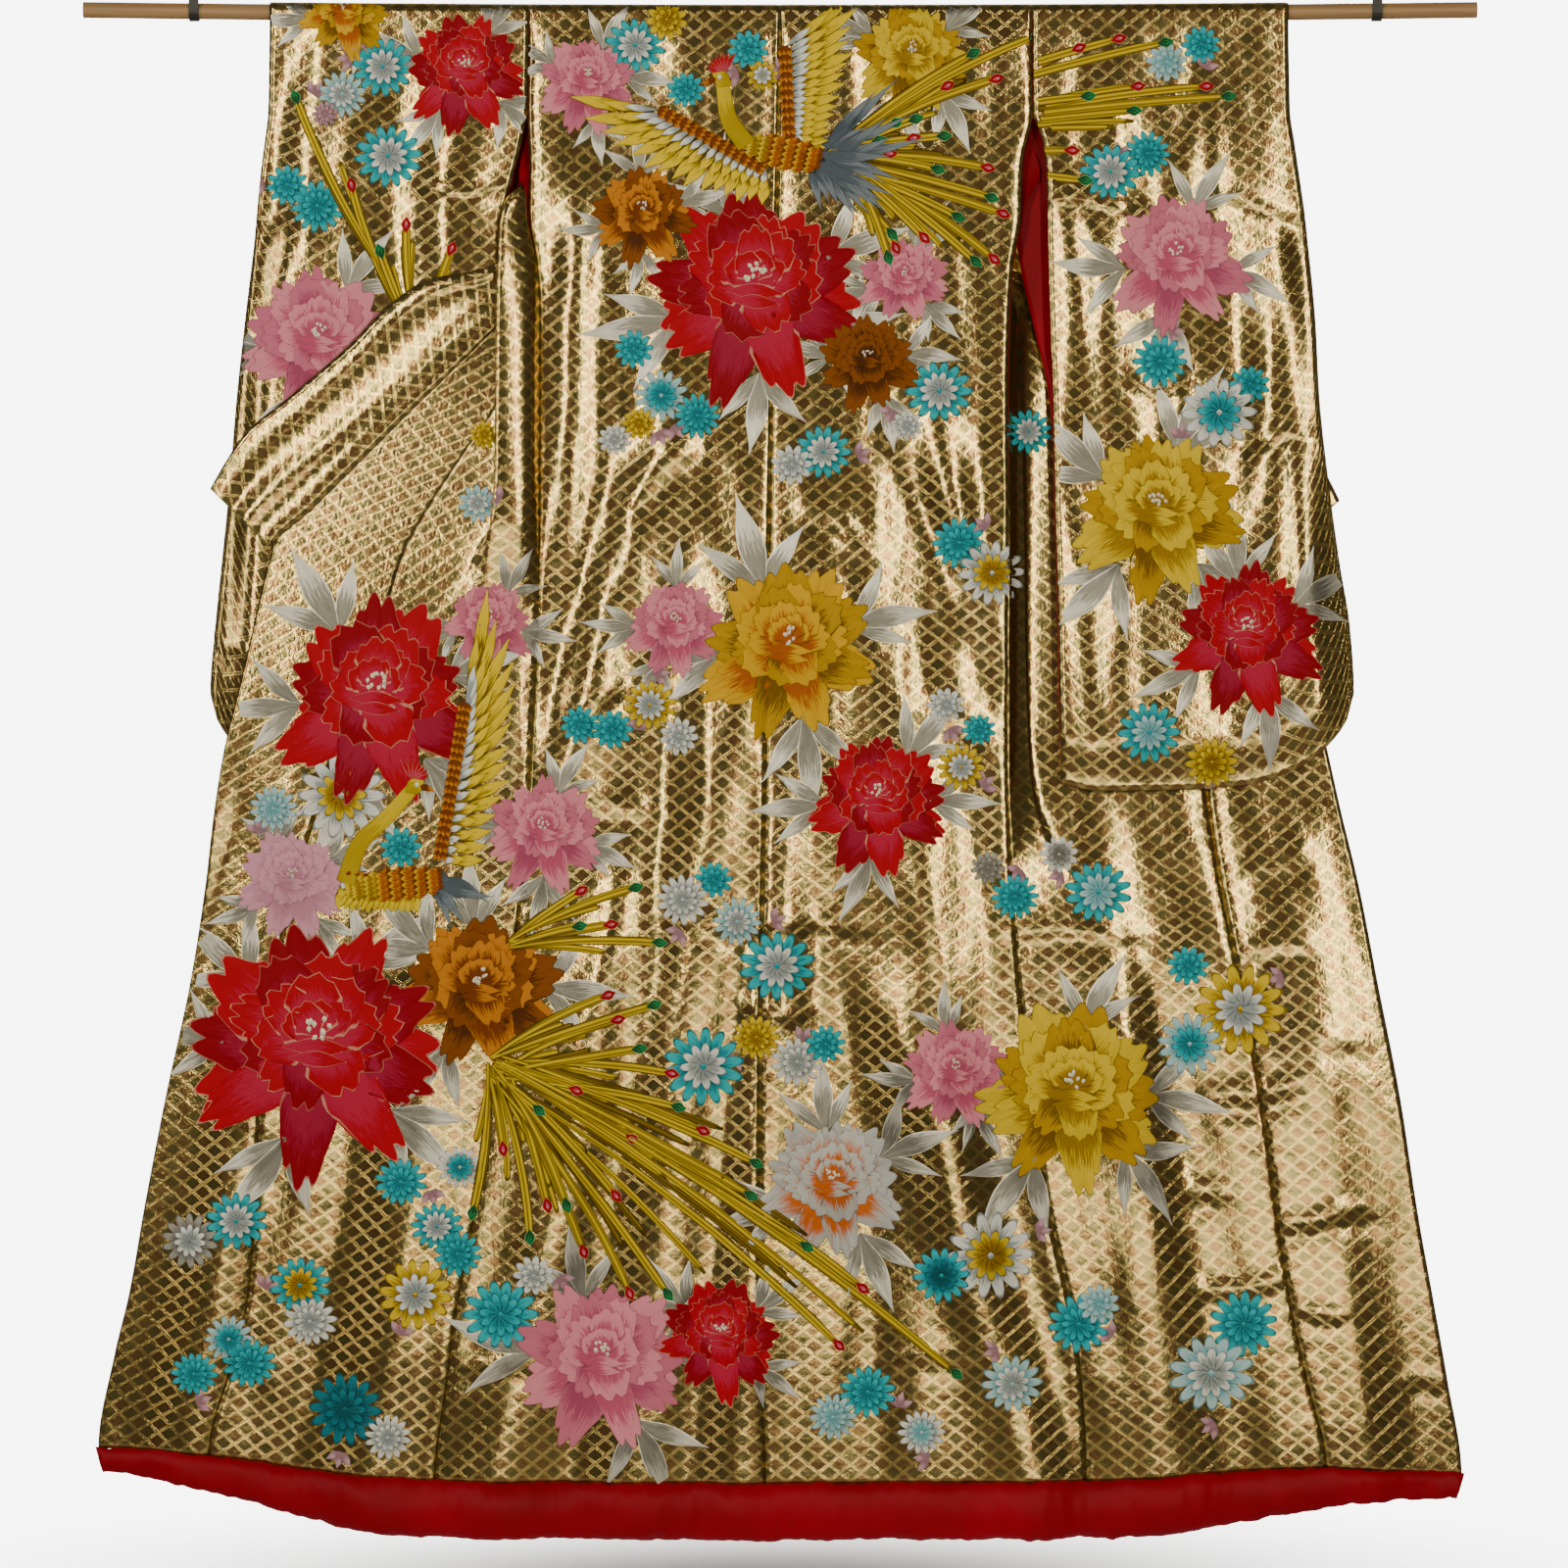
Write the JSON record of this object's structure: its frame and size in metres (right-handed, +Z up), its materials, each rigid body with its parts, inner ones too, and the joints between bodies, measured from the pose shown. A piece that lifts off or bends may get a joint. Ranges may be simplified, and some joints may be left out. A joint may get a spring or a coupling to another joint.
{
  "type": "uchikake wedding kimono hung on a wooden pole",
  "caption": "Long padded wedding over-kimono hung by both sleeves on a round wooden pole, back to the viewer, fronts opened out, hem edged by a thick roll.",
  "frame": {"origin": "middle of the pole, where it is held", "axes": "+X along the pole towards the right sleeve as seen from the kimono's back, +Y away from the viewer of the back, +Z up"},
  "size_m": [1.8202, 0.115, 2.0463],
  "materials": {
    "brocade": "gold silk brocade with embroidered flowers and birds, red silk lining inside",
    "satin": "red silk satin, gathered over wadding",
    "wood": "pale brown, dull varnish",
    "steel": "black paint"
  },
  "bodies": {
    "root": {"pole": "wood", "hook_left": "steel", "hook_right": "steel", "back_left": "brocade", "back_left_fold": "brocade", "back_left_skirt": "brocade", "back_right": "brocade", "back_right_fold": "brocade", "back_right_skirt": "brocade", "front_left": "brocade", "front_left_fold": "brocade", "front_left_skirt": "brocade", "front_right": "brocade", "front_right_fold": "brocade", "front_right_skirt": "brocade", "front_right_top": "brocade", "front_right_turn": "brocade", "front_right_turn_low": "brocade", "okumi_left": "brocade", "okumi_left_tip": "brocade", "okumi_right": "brocade", "collar_left": "brocade", "collar_right": "brocade", "collar_neck": "brocade", "sleeve_left_back": "brocade", "sleeve_left_front": "brocade", "sleeve_right_back": "brocade", "sleeve_right_front": "brocade", "hem_roll": "satin"}
  },
  "joints": []
}
